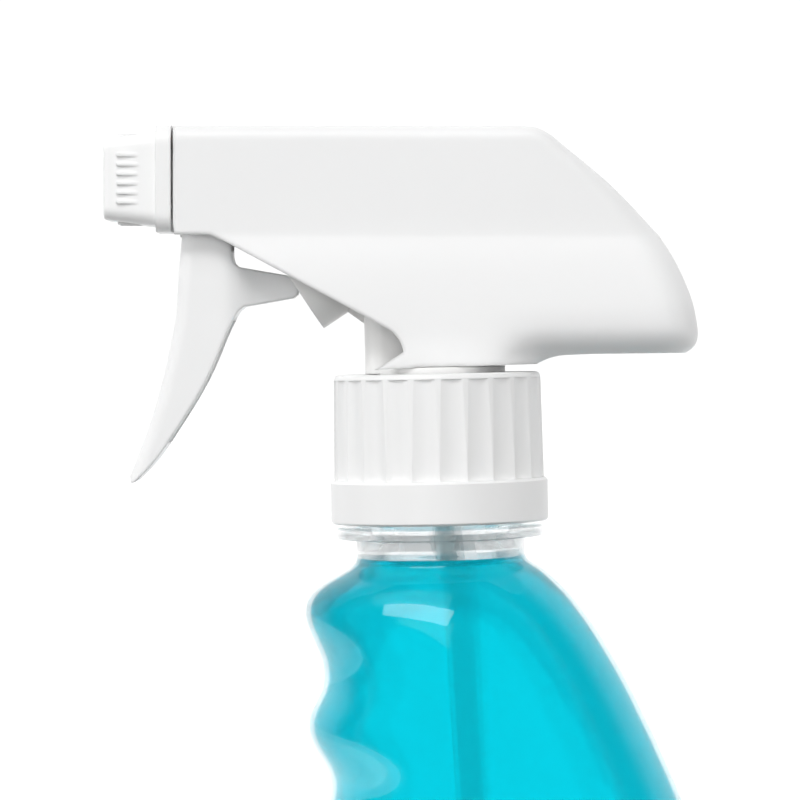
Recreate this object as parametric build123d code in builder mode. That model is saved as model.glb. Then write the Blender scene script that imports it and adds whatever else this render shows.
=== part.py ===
"""Trigger spray bottle: clear blow-moulded bottle with finger grips, ribbed screw closure and an all-plastic trigger pump.

Frame: +Z up along the neck, origin on the neck axis in the plane the bottle stands on, nozzle towards -X, millimetres.
The pump head sits on the neck with a small nose-up tilt, so its pieces are drawn on the HEAD plane (u forward-to-rear, v up).
"""

import math
import os

from build123d import *

os.makedirs("parts", exist_ok=True)

# ---------------------------------------------------------------- driving dimensions
CLOSURE_Z = 220.0  # lower edge of the screw closure above the base
HEAD_TILT = 1.2  # degrees, pump head against the neck, nose up

RING_R = 16.6  # neck support ring
RING_TOP = CLOSURE_Z - 0.65
RING_THICK = 1.8
NECK_R = 13.6  # plain neck under the ring
FINISH_R = 12.5  # neck finish, root of thread
FINISH_TOP = CLOSURE_Z + 17.8
NECK_BORE_R = 10.95
PITCH = 4.23  # six threads per inch
THREAD_CREST_R = 13.7
WALL = 1.0  # bottle wall
LIQUID_LEVEL = CLOSURE_Z - 7.4

CAP_BAND_R = 17.5
CAP_BAND_H = 6.9
CAP_RIB_R = 16.8
CAP_H = 23.9
CAP_BORE_R = 14.35
CAP_FLUTES = 24

COLLAR_R = 11.0
FLANGE_R = 13.6

CYL_ANGLE = 33.5  # pump cylinder, up and to the rear
CYL_MOUTH = (-22.55, 36.92)  # centre of its open end, (u, v)
CYL_OUT_R = 7.0
CYL_BORE_R = 6.0
CYL_DEPTH = 17.6
CYL_END = 1.3

BARREL_V = 54.9  # discharge barrel and nozzle axis
BARREL_R = 3.6
BARREL_BORE_R = 1.9
NOSE_R = 4.2
FRONT_U = -42.5  # front face of the shroud

PIVOT = (-33.84, 54.06)  # trigger pivot, (u, v)
PIVOT_PIN_R = 1.6
TRIGGER_HALF = 6.3
TRIGGER_ROUND = 2.0  # rounding of the front of the finger blade

SHROUD_WALL = 1.3

DIP_R = 2.35
DIP_BORE_R = 1.6

C, S = math.cos(math.radians(HEAD_TILT)), math.sin(math.radians(HEAD_TILT))
CA, SA = math.cos(math.radians(CYL_ANGLE)), math.sin(math.radians(CYL_ANGLE))

# u runs nose to rear, v up, the plane's normal points to -Y
HEAD = Plane(origin=(0, 0, CLOSURE_Z), x_dir=(C, 0, -S), z_dir=(0, -1, 0))


def head(u, v, y=0.0):
    """Point of the head frame in the part's frame."""
    return Vector(u * C + v * S, y, CLOSURE_Z - u * S + v * C)


def head_dir(du, dv):
    return Vector(du * C + dv * S, 0, -du * S + dv * C)


# plane square to the pump cylinder, its z along the bore from the open mouth inwards
CYL_DIR = head_dir(CA, SA)
MOUTH = head(*CYL_MOUTH)


def cyl_plane(s):
    return Plane(origin=MOUTH + CYL_DIR * s, x_dir=(0, 1, 0), z_dir=CYL_DIR)


# plane square to the barrel, its z towards the nose, at station u
def barrel_plane(u, v=BARREL_V):
    return Plane(origin=head(u, v), x_dir=(0, 1, 0), z_dir=head_dir(-1, 0))


def save(part, name):
    part.label = name
    export_step(part, f"parts/{name}.step")


# ---------------------------------------------------------------- bottle
# stations below the closure edge: z, front x, rear x, half width y, x of the widest line, roundness
STATIONS = [
    (-5.4, -13.60, 13.60, 13.60, 0.0, 2.00),
    (-6.4, -13.85, 14.15, 13.80, 0.0, 2.00),
    (-7.6, -15.30, 15.95, 14.70, 0.1, 2.02),
    (-9.3, -18.40, 18.00, 16.30, 0.2, 2.06),
    (-11.4, -21.00, 20.10, 17.90, 0.4, 2.10),
    (-13.9, -22.00, 22.10, 19.40, 0.6, 2.14),
    (-17.5, -21.20, 24.60, 21.00, 0.9, 2.18),
    (-20.8, -19.85, 26.60, 22.20, 1.2, 2.20),
    (-24.2, -19.25, 28.50, 23.20, 1.4, 2.22),
    (-27.4, -19.95, 30.15, 24.00, 1.6, 2.24),
    (-30.0, -21.30, 31.40, 24.60, 1.8, 2.26),
    (-32.4, -21.85, 32.50, 25.10, 2.0, 2.28),
    (-35.4, -21.10, 33.90, 25.70, 2.1, 2.30),
    (-38.8, -19.25, 35.35, 26.30, 2.2, 2.32),
    (-42.2, -18.50, 36.80, 26.80, 2.3, 2.34),
    (-45.6, -19.30, 38.10, 27.30, 2.4, 2.36),
    (-48.6, -21.00, 39.20, 27.70, 2.5, 2.38),
    (-51.4, -21.90, 40.10, 28.00, 2.5, 2.40),
    (-55.0, -21.60, 41.20, 28.40, 2.6, 2.42),
    (-59.5, -21.10, 42.40, 28.80, 2.6, 2.44),
    (-65.0, -22.60, 43.70, 29.30, 2.6, 2.48),
    (-72.0, -26.60, 45.00, 29.80, 2.6, 2.52),
    (-80.0, -31.60, 46.10, 30.30, 2.5, 2.58),
    (-90.0, -37.00, 47.00, 30.90, 2.5, 2.66),
    (-102.0, -41.40, 47.50, 31.40, 2.5, 2.74),
    (-118.0, -44.20, 47.60, 31.80, 2.5, 2.80),
    (-138.0, -45.20, 47.30, 32.00, 2.5, 2.84),
    (-165.0, -45.20, 46.90, 32.00, 2.5, 2.84),
    (-192.0, -44.60, 46.40, 31.80, 2.5, 2.84),
    (-212.0, -43.60, 45.60, 31.20, 2.5, 2.84),
    (-220.0, -43.00, 45.10, 30.70, 2.5, 2.84),
]
HALF_POINTS = 13  # along each half of a ring
HALF_KNOTS = [k / (HALF_POINTS - 1) for k in range(HALF_POINTS)]


def station_points(st, inset, side, z):
    """Points of one half of a ring, from the rear round to the front."""
    _, xf, xr, half, mid, p = st
    pts = []
    for k in range(HALF_POINTS):
        a = math.pi * k / (HALF_POINTS - 1)
        ca, sa = math.cos(a), abs(math.sin(a))
        if k in (0, HALF_POINTS - 1):
            sa = 0.0
        grow = (abs(ca) ** p + sa**p) ** (-1 / p)
        ax = (xr - mid) if ca >= 0 else (mid - xf)
        pts.append(Vector(mid + (ax - inset) * ca * grow, side * (half - inset) * sa * grow, z))
    return pts


def ring_face(st, inset, z):
    """Flat face of one station, outlined in two halves; all rings share their knots, which keeps the loft light."""
    z += CLOSURE_Z
    left = Edge.make_spline(station_points(st, inset, 1, z), tangents=[Vector(0, 1, 0), Vector(0, -1, 0)], parameters=HALF_KNOTS)
    right = Edge.make_spline(station_points(st, inset, -1, z), tangents=[Vector(0, -1, 0), Vector(0, 1, 0)], parameters=HALF_KNOTS)
    return Face(Wire([left, right]))


def base_station(z):
    """Plain lower body at height z, read between the listed stations."""
    for a, b in zip(STATIONS, STATIONS[1:]):
        if a[0] >= z >= b[0]:
            t = (a[0] - z) / (a[0] - b[0])
            return tuple(p + (q - p) * t for p, q in zip(a, b))
    return STATIONS[-1]


def body_loft(top, inset, floor, heel):
    """Smooth closed solid from the station at or below top down to the floor, with a rounded heel."""
    knee = floor + heel
    main = [s for s in STATIONS if top >= s[0] > knee + 3.0] + [base_station(knee)]
    body = [ring_face(st, inset, st[0]) for st in main]
    turn = []
    for angle in (0, 24, 46, 66, 80, 90):
        a = math.radians(angle)
        z = floor + heel * (1 - math.sin(a))
        turn.append(ring_face(base_station(knee), inset + heel * (1 - math.cos(a)), z))
    with BuildPart() as made:
        loft(sections=body, clean=False)
        loft(sections=turn, clean=False)
    return made.part


OUTER = body_loft(0.0, 0.0, -CLOSURE_Z, 4.5)
CAVITY = body_loft(-5.5, WALL, -CLOSURE_Z + 1.4, 3.6)

FOOT_R = 205.0  # sphere that makes the hollow under the base
FOOT_CHORD = 25.0
FOOT_RISE = FOOT_R - math.sqrt(FOOT_R**2 - FOOT_CHORD**2)


def foot_sphere(lift):
    with BuildPart() as foot:
        with Locations((2.0, 0, FOOT_RISE - FOOT_R + lift)):
            Sphere(FOOT_R)
    return foot.part


# thread ridge, trapezoid section, on the neck finish
B_THREAD_Z = CLOSURE_Z + 9.6
B_THREAD_TURNS = 1.35
with BuildPart() as neck_thread:
    with BuildLine():
        b_helix = Helix(PITCH, PITCH * B_THREAD_TURNS, FINISH_R - 0.25)
    with BuildSketch(Plane(origin=b_helix @ 0, x_dir=(1, 0, 0), z_dir=b_helix % 0)):
        with BuildLine():
            Polyline(
                (0, -1.12),
                (THREAD_CREST_R - FINISH_R + 0.25, -0.42),
                (THREAD_CREST_R - FINISH_R + 0.25, 0.42),
                (0, 1.12),
                close=True,
            )
        make_face()
    sweep(is_frenet=True)

FOOT_OUT = foot_sphere(0)
FOOT_IN = foot_sphere(1.3)
FOOT_LIQUID = foot_sphere(1.45)

with BuildPart() as bottle_inside:
    add(CAVITY)
    # the foot's dome stands up inside
    add(FOOT_IN, mode=Mode.SUBTRACT, clean=False)

with BuildPart() as bottle_bore:
    with Locations((0, 0, CLOSURE_Z - 7.6)):
        Cylinder(NECK_R - WALL - 0.1, 4.6, align=(Align.CENTER, Align.CENTER, Align.MIN))

with BuildPart() as bottle:
    add(OUTER)
    add(FOOT_OUT, mode=Mode.SUBTRACT, clean=False)
    add(bottle_inside.part, mode=Mode.SUBTRACT, clean=False)
    # neck, support ring and finish
    with BuildSketch(Plane.XZ):
        with BuildLine():
            Polyline(
                (NECK_R - WALL - 0.1, CLOSURE_Z - 6.2),
                (NECK_R - 0.25, CLOSURE_Z - 6.2),
                (NECK_R - 0.25, CLOSURE_Z - 5.4),
                (NECK_R, CLOSURE_Z - 5.15),
                (NECK_R, RING_TOP - RING_THICK),
                (RING_R - 0.25, RING_TOP - RING_THICK),
                (RING_R, RING_TOP - RING_THICK + 0.25),
                (RING_R, RING_TOP - 0.25),
                (RING_R - 0.25, RING_TOP),
                (NECK_R - 0.3, RING_TOP),
                (FINISH_R, RING_TOP + 1.0),
                (FINISH_R, FINISH_TOP - 0.4),
                (FINISH_R - 0.4, FINISH_TOP),
                (NECK_BORE_R + 0.3, FINISH_TOP),
                (NECK_BORE_R, FINISH_TOP - 0.3),
                (NECK_BORE_R, RING_TOP - 1.0),
                (NECK_R - WALL - 0.1, RING_TOP - 3.6),
                close=True,
            )
        make_face()
    revolve(axis=Axis.Z, clean=False)
    # way through from neck to body
    add(bottle_bore.part, mode=Mode.SUBTRACT, clean=False)
    with Locations((0, 0, B_THREAD_Z)):
        add(neck_thread.part, clean=False)
save(bottle.part, "bottle")

# ---------------------------------------------------------------- dip tube
DIP_TOP = CLOSURE_Z + 19.4
dip_points = [
    (0, 0, DIP_TOP),
    (0, 0, CLOSURE_Z + 6.5),
    (2.7, 0, CLOSURE_Z - 14.0),
    (4.3, 0, CLOSURE_Z - 52.0),
    (8.5, 0, CLOSURE_Z - 108.0),
    (15.0, 0, CLOSURE_Z - 163.0),
    (22.0, 0, 4.8),
]
dip_radii = []
for a, b, c in zip(dip_points, dip_points[1:], dip_points[2:]):
    va, vb, vc = Vector(*a), Vector(*b), Vector(*c)
    turn = math.radians((vb - va).get_angle(vc - vb))
    shorter = min((vb - va).length, (vc - vb).length)
    dip_radii.append(0.42 * shorter / math.tan(turn / 2))
with BuildPart() as dip_tube:
    with BuildLine() as dip_path:
        FilletPolyline(*dip_points, radius=dip_radii)
    with BuildSketch(Plane(origin=dip_path.line @ 0, z_dir=dip_path.line % 0)):
        Circle(DIP_R)
        Circle(DIP_BORE_R, mode=Mode.SUBTRACT)
    sweep()
    # slanted cut so the end can't seal against the floor
    with BuildSketch(Plane.XZ):
        with BuildLine():
            Polyline((15, 0), (30, 0), (30, 10.8), (15, 1.8), close=True)
        make_face()
    extrude(amount=6, both=True, mode=Mode.SUBTRACT)
dip_length = sum(e.length for e in dip_path.line.edges())
print("dip tube volume", round(dip_tube.part.volume), "expected", round(math.pi * (DIP_R**2 - DIP_BORE_R**2) * dip_length))
save(dip_tube.part, "dip_tube")

# ---------------------------------------------------------------- liquid
# outside of the tube, run past both ends, to make room for it in the liquid
with BuildPart() as tube_room:
    with BuildLine() as room_path:
        FilletPolyline(*dip_points, radius=dip_radii)
    with BuildSketch(Plane(origin=room_path.line @ 0, z_dir=room_path.line % 0)):
        Circle(DIP_R + 0.05)
    sweep()

with BuildPart() as above_level:
    with Locations((0, 0, LIQUID_LEVEL)):
        Box(200, 200, 100, align=(Align.CENTER, Align.CENTER, Align.MIN))

FILL = body_loft(-5.5, WALL + 0.15, -CLOSURE_Z + 1.55, 3.6)

with BuildPart() as cleaning_liquid:
    add(FILL)
    add(FOOT_LIQUID, mode=Mode.SUBTRACT, clean=False)
    add(above_level.part, mode=Mode.SUBTRACT, clean=False)
    add(tube_room.part, mode=Mode.SUBTRACT, clean=False)
save(cleaning_liquid.part, "cleaning_liquid")

# ---------------------------------------------------------------- screw closure
C_THREAD_Z = B_THREAD_Z - PITCH / 2
C_THREAD_TURNS = 0.9
C_CREST_R = 13.05
with BuildPart() as cap_thread:
    with BuildLine():
        c_helix = Helix(PITCH, PITCH * C_THREAD_TURNS, CAP_BORE_R + 0.25)
    with BuildSketch(Plane(origin=c_helix @ 0, x_dir=(1, 0, 0), z_dir=c_helix % 0)):
        with BuildLine():
            Polyline(
                (0, -0.95),
                (C_CREST_R - CAP_BORE_R - 0.25, -0.35),
                (C_CREST_R - CAP_BORE_R - 0.25, 0.35),
                (0, 0.95),
                close=True,
            )
        make_face()
    sweep(is_frenet=True)

with BuildPart() as screw_cap:
    with BuildSketch(Plane.XZ):
        with BuildLine():
            Polyline(
                (CAP_BORE_R + 0.3, CLOSURE_Z),
                (CAP_BAND_R - 0.35, CLOSURE_Z),
                (CAP_BAND_R, CLOSURE_Z + 0.35),
                (CAP_BAND_R, CLOSURE_Z + CAP_BAND_H - 0.35),
                (CAP_BAND_R - 0.35, CLOSURE_Z + CAP_BAND_H),
                (CAP_RIB_R + 0.1, CLOSURE_Z + CAP_BAND_H),
                (CAP_RIB_R - 0.15, CLOSURE_Z + CAP_H - 0.7),
                (CAP_RIB_R - 0.35, CLOSURE_Z + CAP_H - 0.2),
                (CAP_RIB_R - 0.85, CLOSURE_Z + CAP_H),
                (COLLAR_R + 0.3, CLOSURE_Z + CAP_H),
                (COLLAR_R + 0.3, CLOSURE_Z + 21.8),
                (CAP_BORE_R, CLOSURE_Z + 21.8),
                (CAP_BORE_R, CLOSURE_Z + 0.3),
                close=True,
            )
        make_face()
    revolve(axis=Axis.Z)
    # hollow flutes with crisp ridges between them
    with Locations((0, 0, CLOSURE_Z + CAP_BAND_H)):
        with PolarLocations(CAP_RIB_R + 4.62, CAP_FLUTES, start_angle=7.5):
            Cylinder(
                5.15,
                CAP_H - CAP_BAND_H - 0.9,
                align=(Align.CENTER, Align.CENTER, Align.MIN),
                mode=Mode.SUBTRACT,
            )
    with Locations((0, 0, C_THREAD_Z)):
        add(cap_thread.part)
save(screw_cap.part, "screw_cap")

# ---------------------------------------------------------------- neck gasket
with BuildPart() as neck_gasket:
    with BuildSketch(Plane.XY.offset(FINISH_TOP + 0.02)):
        Circle(12.7)
        Circle(9.9, mode=Mode.SUBTRACT)
    extrude(amount=1.46)
save(neck_gasket.part, "neck_gasket")

# ---------------------------------------------------------------- intake stem (tube holder with ball seat)
with BuildPart() as intake_stem:
    with BuildSketch(Plane.XZ):
        with BuildLine():
            Polyline(
                (2.9, CLOSURE_Z + 12.2),
                (3.4, CLOSURE_Z + 12.2),
                (3.95, CLOSURE_Z + 13.0),
                (3.95, CLOSURE_Z + 17.9),
                (9.5, CLOSURE_Z + 17.9),
                (9.5, CLOSURE_Z + 19.26),
                (3.95, CLOSURE_Z + 19.26),
                (3.95, CLOSURE_Z + 29.0),
                (2.3, CLOSURE_Z + 29.0),
                (2.3, CLOSURE_Z + 25.0),
                (1.3, CLOSURE_Z + 24.0),
                (1.3, CLOSURE_Z + 19.6),
                (DIP_R + 0.05, CLOSURE_Z + 19.6),
                (DIP_R + 0.05, CLOSURE_Z + 12.8),
                close=True,
            )
        make_face()
    revolve(axis=Axis.Z)
    # slot that lets air back past the flange
    with Locations((-8.5, 0, CLOSURE_Z + 18.6)):
        Cylinder(0.8, 3, mode=Mode.SUBTRACT)
save(intake_stem.part, "intake_stem")

with BuildPart() as inlet_valve_ball:
    with Locations((0, 0, CLOSURE_Z + 25.57)):
        Sphere(2.0)
save(inlet_valve_ball.part, "inlet_valve_ball")

# ---------------------------------------------------------------- pump body
with BuildPart() as pump_body:
    # flange under the closure and collar through it
    with BuildSketch(Plane.XY.offset(CLOSURE_Z + 19.3)):
        Circle(FLANGE_R)
    extrude(amount=2.4)
    with BuildSketch(Plane.XY.offset(CLOSURE_Z + 21.7)):
        Circle(COLLAR_R)
    extrude(amount=3.2)
    # stem column and riser
    with BuildSketch(Plane.XY.offset(CLOSURE_Z + 24.0)):
        with Locations((-2.0, 0)):
            RectangleRounded(19.0, 12.4, 3.0)
    extrude(amount=14.5)
    with BuildSketch(Plane.XY.offset(CLOSURE_Z + 38.0)):
        with Locations((-1.0, 0)):
            RectangleRounded(11.0, 8.4, 2.5)
    extrude(amount=BARREL_V - 38.0 + 1.0)
    # web between cylinder, barrel and stem, and the rib that carries the air passage
    with BuildSketch(HEAD):
        with BuildLine():
            Polyline((-17.5, 54.5), (-15.5, 46.5), (-9, 30), (3, 30), (8.6, 38), (8.6, 44), (3.4, 50), (3.4, 54.5), close=True)
        make_face()
    extrude(amount=0.9, both=True)
    with BuildSketch(HEAD):
        with BuildLine():
            Polyline((-10.5, 25.6), (-11.3, 31.2), (-15.2, 34.0), (-12.0, 38.0), (-5, 38), (-5, 25.6), close=True)
        make_face()
    extrude(amount=1.9, both=True)
    # pump cylinder
    with BuildSketch(cyl_plane(0)):
        Circle(CYL_OUT_R)
    extrude(amount=CYL_DEPTH + CYL_END)
    # discharge barrel and the nose that carries the nozzle
    with BuildSketch(barrel_plane(4.0)):
        Circle(BARREL_R)
    extrude(amount=4.0 + 42.5)
    with BuildSketch(barrel_plane(-41.6)):
        Circle(NOSE_R)
    extrude(amount=8.2)
    # front plate inside the shroud's mouth
    with BuildSketch(barrel_plane(-40.9, BARREL_V + 0.5)):
        RectangleRounded(13.6, 11.6, 1.5)
    extrude(amount=1.6)
    # pins the trigger turns on
    with BuildSketch(HEAD):
        with Locations(PIVOT):
            Circle(PIVOT_PIN_R)
    extrude(amount=6.55, both=True)
    # ring groove on the nose
    with BuildSketch(barrel_plane(-45.6)):
        Circle(NOSE_R + 1)
        Circle(NOSE_R - 0.6, mode=Mode.SUBTRACT)
    extrude(amount=1.1, mode=Mode.SUBTRACT)
    # bores: cylinder, stem, riser, port, barrel, nose
    with BuildSketch(cyl_plane(-1)):
        Circle(CYL_BORE_R)
    extrude(amount=CYL_DEPTH + 1, mode=Mode.SUBTRACT)
    with BuildSketch(Plane.XY.offset(CLOSURE_Z + 19.0)):
        Circle(4.0)
    extrude(amount=10.1, mode=Mode.SUBTRACT)
    with BuildSketch(Plane.XY.offset(CLOSURE_Z + 28.0)):
        Circle(1.7)
    extrude(amount=BARREL_V - 28.0, mode=Mode.SUBTRACT)
    with BuildSketch(Plane(origin=MOUTH + CYL_DIR * (CYL_DEPTH - 0.5) + head_dir(SA, -CA) * 3.2, x_dir=(0, 1, 0), z_dir=CYL_DIR)):
        Circle(1.1)
    extrude(amount=8.0, mode=Mode.SUBTRACT)
    with BuildSketch(barrel_plane(4.5)):
        Circle(BARREL_BORE_R)
    extrude(amount=56.0, mode=Mode.SUBTRACT)
    with BuildSketch(barrel_plane(-44.0)):
        Circle(2.9)
    extrude(amount=8.0, mode=Mode.SUBTRACT)
    # open slot in the top of the cylinder's mouth for the trigger's arm
    with BuildSketch(cyl_plane(-1)):
        with Locations((0, 8)):
            Rectangle(9.2, 16)
    extrude(amount=6.8, mode=Mode.SUBTRACT)
    # air passage from between the piston's seals down through the flange
    with Locations((-8.5, 0, CLOSURE_Z + 19.0)):
        Cylinder(0.6, 12.0, align=(Align.CENTER, Align.CENTER, Align.MIN), mode=Mode.SUBTRACT)
    with BuildSketch(Plane(origin=head(-8.3, 30.2), x_dir=(0, 1, 0), z_dir=head_dir(-4.3, 6.6))):
        Circle(0.6)
    extrude(amount=8.2, mode=Mode.SUBTRACT)
save(pump_body.part, "pump_body")

with BuildPart() as barrel_plug:
    with BuildSketch(barrel_plane(5.4)):
        Circle(BARREL_R)
    extrude(amount=1.35)
    with BuildSketch(barrel_plane(4.2)):
        Circle(BARREL_BORE_R - 0.02)
    extrude(amount=2.2)
save(barrel_plug.part, "barrel_plug")

# ---------------------------------------------------------------- outlet side
with BuildPart() as outlet_check_valve:
    with BuildSketch(barrel_plane(-38.4)):
        Circle(BARREL_BORE_R - 0.05)
        Circle(0.7, mode=Mode.SUBTRACT)
    extrude(amount=2.0)
    with BuildSketch(barrel_plane(-40.4)):
        Circle(BARREL_BORE_R - 0.35)
    extrude(amount=1.0)
    with BuildSketch(barrel_plane(-40.0)):
        Circle(0.5)
    extrude(amount=3.0)
save(outlet_check_valve.part, "outlet_check_valve")

with BuildPart() as swirl_insert:
    with BuildSketch(barrel_plane(-44.1)):
        Circle(2.87)
    extrude(amount=4.6)
    # feed slots along it and the spin slots across its face
    with BuildSketch(barrel_plane(-44.0)):
        with PolarLocations(2.87, 3):
            Rectangle(1.1, 1.1)
    extrude(amount=5.0, mode=Mode.SUBTRACT)
    with BuildSketch(barrel_plane(-48.3)):
        with PolarLocations(1.5, 3):
            Rectangle(2.2, 0.6)
        Circle(0.8)
    extrude(amount=0.5, mode=Mode.SUBTRACT)
save(swirl_insert.part, "swirl_insert")

with BuildPart() as nozzle_o_ring:
    with BuildSketch(HEAD):
        with Locations((-46.15, BARREL_V + NOSE_R - 0.28)):
            Circle(0.3)
    revolve(axis=Axis(head(-46.15, BARREL_V), head_dir(1, 0)))
save(nozzle_o_ring.part, "nozzle_o_ring")

# ---------------------------------------------------------------- nozzle
N_BACK, N_STEP, N_FRONT = -42.85, -45.3, -53.75
with BuildPart() as nozzle_cap:
    with BuildSketch(barrel_plane(N_STEP)):
        RectangleRounded(15.1, 15.1, 2.3)
    with BuildSketch(barrel_plane(N_FRONT)):
        RectangleRounded(12.9, 12.9, 2.0)
    loft()
    fillet(nozzle_cap.faces().sort_by(Axis.X)[0].edges(), 0.5)
    with BuildSketch(barrel_plane(N_BACK)):
        RectangleRounded(17.0, 17.0, 3.0)
    extrude(amount=N_BACK - N_STEP + 0.01)
    # hollow behind, leaving the outer wall
    with BuildSketch(barrel_plane(N_BACK + 0.01)):
        RectangleRounded(12.7, 12.7, 1.6)
    with BuildSketch(barrel_plane(-51.0)):
        RectangleRounded(11.0, 11.0, 1.4)
    loft(mode=Mode.SUBTRACT)
    # inner sleeve that turns on the nose
    with BuildSketch(barrel_plane(-43.3)):
        Circle(5.3)
        Circle(NOSE_R + 0.06, mode=Mode.SUBTRACT)
    extrude(amount=8.2)
    # seat for the orifice cup, exit hole and flared mouth
    with BuildSketch(barrel_plane(-50.4)):
        Circle(2.6)
    extrude(amount=1.9, mode=Mode.SUBTRACT)
    with BuildSketch(barrel_plane(-51.4)):
        Circle(0.6)
    extrude(amount=3.0, mode=Mode.SUBTRACT)
    with BuildSketch(barrel_plane(-52.6)):
        Circle(1.2)
    with BuildSketch(barrel_plane(N_FRONT - 0.01)):
        Circle(2.9)
    loft(mode=Mode.SUBTRACT)
    # plain grip ridges on the four sides
    for turn in range(4):
        d = Vector(0, 1, 0).rotate(Axis((0, 0, 0), head_dir(1, 0)), 90 * turn)
        side = Plane(origin=head(-49.4, BARREL_V) + d * 6.1, x_dir=head_dir(1, 0), z_dir=d)
        with BuildSketch(side):
            with GridLocations(1, 1.5, 1, 6):
                RectangleRounded(4.4, 0.55, 0.25)
        extrude(amount=1.1)
save(nozzle_cap.part, "nozzle_cap")

with BuildPart() as orifice_cup:
    with BuildSketch(barrel_plane(-50.42)):
        Circle(2.57)
    extrude(amount=1.85)
    with BuildSketch(barrel_plane(-50.4)):
        Circle(1.6)
    extrude(amount=1.0, mode=Mode.SUBTRACT)
    with BuildSketch(barrel_plane(-50.4)):
        Circle(0.3)
    extrude(amount=3.0, mode=Mode.SUBTRACT)
save(orifice_cup.part, "orifice_cup")

# ---------------------------------------------------------------- piston, seals and spring
with BuildPart() as piston:
    with BuildSketch(cyl_plane(0.68)):
        Circle(5.65)
    extrude(amount=1.4)
    with BuildSketch(cyl_plane(2.0)):
        Circle(4.2)
    extrude(amount=8.8)
    with BuildSketch(cyl_plane(7.65)):
        Circle(5.2)
    extrude(amount=1.3)
    # spring pocket
    with BuildSketch(cyl_plane(3.4)):
        Circle(3.25)
    extrude(amount=9.0, mode=Mode.SUBTRACT)
save(piston.part, "piston")


def lip_seal(s0, length, lip_s, name):
    with BuildPart() as seal:
        with BuildSketch(cyl_plane(s0)):
            Circle(5.2)
            Circle(4.22, mode=Mode.SUBTRACT)
        extrude(amount=length)
        with BuildSketch(cyl_plane(lip_s)):
            Circle(CYL_BORE_R - 0.05)
            Circle(5.1, mode=Mode.SUBTRACT)
        extrude(amount=0.6)
    save(seal.part, name)


lip_seal(5.9, 1.72, 6.3, "piston_vent_seal")
lip_seal(8.98, 1.8, 9.95, "piston_pressure_seal")

SPRING_FROM, SPRING_TO = 3.5, CYL_DEPTH - 0.1
with BuildPart() as return_spring:
    with BuildLine():
        wire = Helix(
            (SPRING_TO - SPRING_FROM - 0.8) / 6.0,
            SPRING_TO - SPRING_FROM - 0.8,
            2.6,
            center=MOUTH + CYL_DIR * (SPRING_FROM + 0.4),
            direction=CYL_DIR,
        )
    with BuildSketch(Plane(origin=wire @ 0, z_dir=wire % 0)):
        Circle(0.35)
    sweep(is_frenet=True)
save(return_spring.part, "return_spring")

# ---------------------------------------------------------------- trigger
with BuildPart() as trigger:
    with BuildSketch(HEAD):
        with BuildLine():
            # front edge, hooked tip, hollow back edge, arm and its nose, ears round the pivot
            Spline((-41.27, 46.33), (-41.86, 39.89), (-42.16, 34.45), (-43.05, 28.8), (-45.13, 20.28), (-47.61, 12.75), (-49.59, 7.6), tangents=[(-0.06, -1), (-0.36, -1)])
            Polyline((-49.59, 7.6), (-49.29, 6.41), (-48.69, 6.56))
            Spline((-48.69, 6.56), (-46.22, 9.09), (-42.45, 14.34), (-38.59, 20.48), (-35.82, 26.03), (-33.94, 30.58), (-32.25, 33.85), tangents=[(0.7, 0.7), (0.55, 1)])
            Polyline((-32.25, 33.85), (-31.36, 34.54), (-23.44, 35.93), (-22.79, 36.53), (-22.69, 37.52), (-23.73, 39.3), (-24.63, 39.6), (-32.15, 40.88), (-33.04, 41.58), (-33.34, 42.67), (-33.34, 46.33), (-31.16, 54.06))
            ThreePointArc((-31.16, 54.06), (-33.84, 56.73), (-36.51, 54.06))
            Polyline((-36.51, 54.06), (-39.88, 49.3), (-41.27, 46.33))
        make_face()
    extrude(amount=TRIGGER_HALF, both=True)
    # the arm narrows so that it can follow the piston into the cylinder
    with BuildSketch(Plane.XY.offset(CLOSURE_Z)):
        with BuildLine():
            Polyline((-34.2, TRIGGER_HALF), (-56, TRIGGER_HALF), (-56, -TRIGGER_HALF), (-34.2, -TRIGGER_HALF))
            Spline((-34.2, -TRIGGER_HALF), (-30.3, -4.85), (-26.8, -3.5), tangents=[(1, 0), (1, 0)])
            Polyline((-26.8, -3.5), (-18, -3.5), (-18, 3.5), (-26.8, 3.5))
            Spline((-26.8, 3.5), (-30.3, 4.85), (-34.2, TRIGGER_HALF), tangents=[(-1, 0), (-1, 0)])
        make_face()
    extrude(amount=70, mode=Mode.INTERSECT)
    # rounded front of the finger blade
    fillet(
        trigger.edges().filter_by(lambda e: abs(abs(e.center().Y) - TRIGGER_HALF) < 0.01 and e.length > 30 and e.center().X < -42),
        TRIGGER_ROUND,
    )
    # room for the barrel between the ears, and the moulded hollow down the back
    with BuildSketch(HEAD):
        with BuildLine():
            Polyline((-45, 60), (-45, 49.0), (-39.9, 46.7), (-38.3, 44.65), (-34.3, 43.3), (-31.75, 44.35), (-25.8, 60), close=True)
        make_face()
    extrude(amount=4.35, both=True, mode=Mode.SUBTRACT)
    with BuildSketch(HEAD):
        with BuildLine():
            Polyline((-40.1, 36.4), (-40.6, 31.5), (-41.9, 25.0), (-44.2, 17.1), (-45.8, 12.8), (-42.4, 12.8), (-37.7, 20.1), (-33.3, 30), (-33.0, 33.15), (-35.2, 35.75), close=True)
        make_face()
    extrude(amount=4.6, both=True, mode=Mode.SUBTRACT)
    # pivot holes
    with BuildSketch(HEAD):
        with Locations(PIVOT):
            Circle(PIVOT_PIN_R + 0.06)
    extrude(amount=10, both=True, mode=Mode.SUBTRACT)
save(trigger.part, "trigger")

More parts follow.
